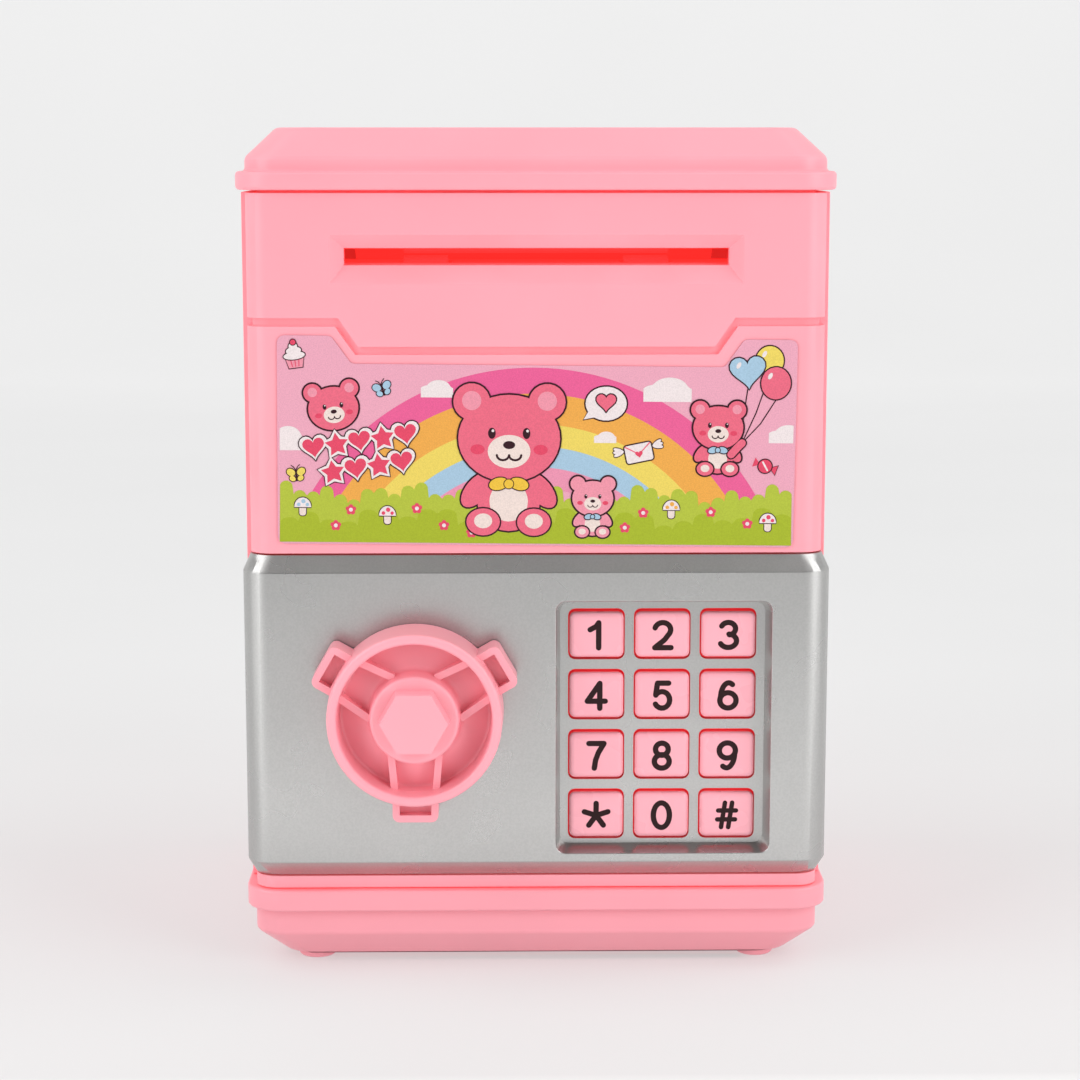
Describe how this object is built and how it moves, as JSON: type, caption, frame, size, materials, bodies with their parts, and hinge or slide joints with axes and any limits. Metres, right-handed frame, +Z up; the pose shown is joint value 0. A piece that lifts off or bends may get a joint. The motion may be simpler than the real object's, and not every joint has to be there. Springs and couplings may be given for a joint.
{
  "type": "toy_safe_coin_bank",
  "caption": "Pink toy safe bank with a chamfered lid, note slot, printed label, and a hinged silver door with a three-lug knob and a keypad.",
  "frame": {"origin": "on the floor under the centre of the bounding box", "axes": "+Z up; the door and note slot face -Y; +X is on the right of someone facing the front, on the hinge side"},
  "size_m": [0.1342, 0.134, 0.192],
  "materials": {
    "pink_plastic": "satin gloss moulded",
    "silver_paint": "satin silver paint on plastic",
    "key_pink": "satin",
    "printed_label": "printed film, satin",
    "white_plastic": "matte moulded",
    "black_plastic": "matte",
    "steel": "bright zinc plated",
    "brass": "machined",
    "rubber": "matte",
    "silicone": "matte translucent",
    "circuit_board": "solder resist",
    "battery_sleeve": "plain printed sleeve"
  },
  "bodies": {
    "casing": {"base_tray": "pink_plastic", "battery_cover": "pink_plastic", "battery_cover_screw": "steel", "base_screw_1": "steel", "base_screw_2": "steel", "base_screw_3": "steel", "base_screw_4": "steel", "battery_cell_1": "battery_sleeve", "battery_cell_2": "battery_sleeve", "battery_cell_3": "battery_sleeve", "battery_contact_left": "steel", "battery_contact_right": "steel", "chamber_floor": "pink_plastic", "rear_shell": "pink_plastic", "front_shell": "pink_plastic", "label": "printed_label", "lid": "pink_plastic", "mechanism_deck": "white_plastic", "feed_frame": "white_plastic", "note_guide_upper": "white_plastic", "note_deflector": "white_plastic", "feed_motor": "steel", "feed_screw_left": "steel", "feed_screw_right": "steel", "coin_chute": "white_plastic", "main_board": "circuit_board", "speaker": "black_plastic", "hinge_pin_lower": "steel", "hinge_pin_upper": "steel"},
    "feed_roller": {"feed_shaft": "steel", "feed_tyre_left": "rubber", "feed_tyre_right": "rubber", "feed_gear": "white_plastic"},
    "motor_rotor": {"motor_shaft": "steel", "motor_pinion": "brass"},
    "pinch_roller_body": {"pinch_roller": "white_plastic"},
    "door": {"door_shell": "silver_paint", "door_inner_panel": "pink_plastic", "keypad_board": "circuit_board", "key_membrane": "silicone", "door_screw_1": "steel", "door_screw_2": "steel", "lock_solenoid": "steel"},
    "knob_body": {"knob": "pink_plastic", "latch_pinion": "white_plastic", "knob_screw": "steel"},
    "bolt": {"latch_bolt": "white_plastic"},
    "plunger": {"solenoid_plunger": "steel"},
    "button_1": {"key_1": "key_pink"},
    "button_2": {"key_2": "key_pink"},
    "button_3": {"key_3": "key_pink"},
    "button_4": {"key_4": "key_pink"},
    "button_5": {"key_5": "key_pink"},
    "button_6": {"key_6": "key_pink"},
    "button_7": {"key_7": "key_pink"},
    "button_8": {"key_8": "key_pink"},
    "button_9": {"key_9": "key_pink"},
    "button_star": {"key_star": "key_pink"},
    "button_0": {"key_0": "key_pink"},
    "button_hash": {"key_hash": "key_pink"}
  },
  "joints": [
    {"name": "door_hinge", "type": "hinge", "parent": "casing", "child": "door", "pos_m": [0.06, -0.0431, 0.0597], "axis": [0, 0, 1], "range_deg": [0, 100]},
    {"name": "knob_turn", "type": "hinge", "parent": "door", "child": "knob_body", "pos_m": [-0.0274, -0.0515, 0.062], "axis": [0, -1, 0], "range_deg": [0, 60]},
    {"name": "bolt_slide", "type": "slide", "parent": "door", "child": "bolt", "axis": [-1, 0, 0], "range_m": [0, 0.0063]},
    {"name": "plunger_slide", "type": "slide", "parent": "door", "child": "plunger", "axis": [0, 0, -1], "range_m": [0, 0.0025], "stiffness_N_per_m": 40},
    {"name": "feed_roller_spin", "type": "hinge", "parent": "casing", "child": "feed_roller", "pos_m": [0, -0.032, 0.1574], "axis": [1, 0, 0], "continuous": true},
    {"name": "motor_spin", "type": "hinge", "parent": "casing", "child": "motor_rotor", "pos_m": [0.0524, -0.02172, 0.14514], "axis": [1, 0, 0], "continuous": true},
    {"name": "pinch_roller_spin", "type": "hinge", "parent": "casing", "child": "pinch_roller_body", "pos_m": [0, -0.032, 0.1688], "axis": [1, 0, 0], "continuous": true},
    {"name": "key_1_press", "type": "slide", "parent": "door", "child": "button_1", "axis": [0, 1, 0], "range_m": [0, 0.0012], "stiffness_N_per_m": 250},
    {"name": "key_2_press", "type": "slide", "parent": "door", "child": "button_2", "axis": [0, 1, 0], "range_m": [0, 0.0012], "stiffness_N_per_m": 250},
    {"name": "key_3_press", "type": "slide", "parent": "door", "child": "button_3", "axis": [0, 1, 0], "range_m": [0, 0.0012], "stiffness_N_per_m": 250},
    {"name": "key_4_press", "type": "slide", "parent": "door", "child": "button_4", "axis": [0, 1, 0], "range_m": [0, 0.0012], "stiffness_N_per_m": 250},
    {"name": "key_5_press", "type": "slide", "parent": "door", "child": "button_5", "axis": [0, 1, 0], "range_m": [0, 0.0012], "stiffness_N_per_m": 250},
    {"name": "key_6_press", "type": "slide", "parent": "door", "child": "button_6", "axis": [0, 1, 0], "range_m": [0, 0.0012], "stiffness_N_per_m": 250},
    {"name": "key_7_press", "type": "slide", "parent": "door", "child": "button_7", "axis": [0, 1, 0], "range_m": [0, 0.0012], "stiffness_N_per_m": 250},
    {"name": "key_8_press", "type": "slide", "parent": "door", "child": "button_8", "axis": [0, 1, 0], "range_m": [0, 0.0012], "stiffness_N_per_m": 250},
    {"name": "key_9_press", "type": "slide", "parent": "door", "child": "button_9", "axis": [0, 1, 0], "range_m": [0, 0.0012], "stiffness_N_per_m": 250},
    {"name": "key_star_press", "type": "slide", "parent": "door", "child": "button_star", "axis": [0, 1, 0], "range_m": [0, 0.0012], "stiffness_N_per_m": 250},
    {"name": "key_0_press", "type": "slide", "parent": "door", "child": "button_0", "axis": [0, 1, 0], "range_m": [0, 0.0012], "stiffness_N_per_m": 250},
    {"name": "key_hash_press", "type": "slide", "parent": "door", "child": "button_hash", "axis": [0, 1, 0], "range_m": [0, 0.0012], "stiffness_N_per_m": 250}
  ],
  "couplings": [
    {"joint": "bolt_slide", "follows": "knob_turn", "m_per_rad": 0.006},
    {"joint": "motor_spin", "follows": "feed_roller_spin", "ratio": -3},
    {"joint": "pinch_roller_spin", "follows": "feed_roller_spin", "ratio": -1.2}
  ]
}
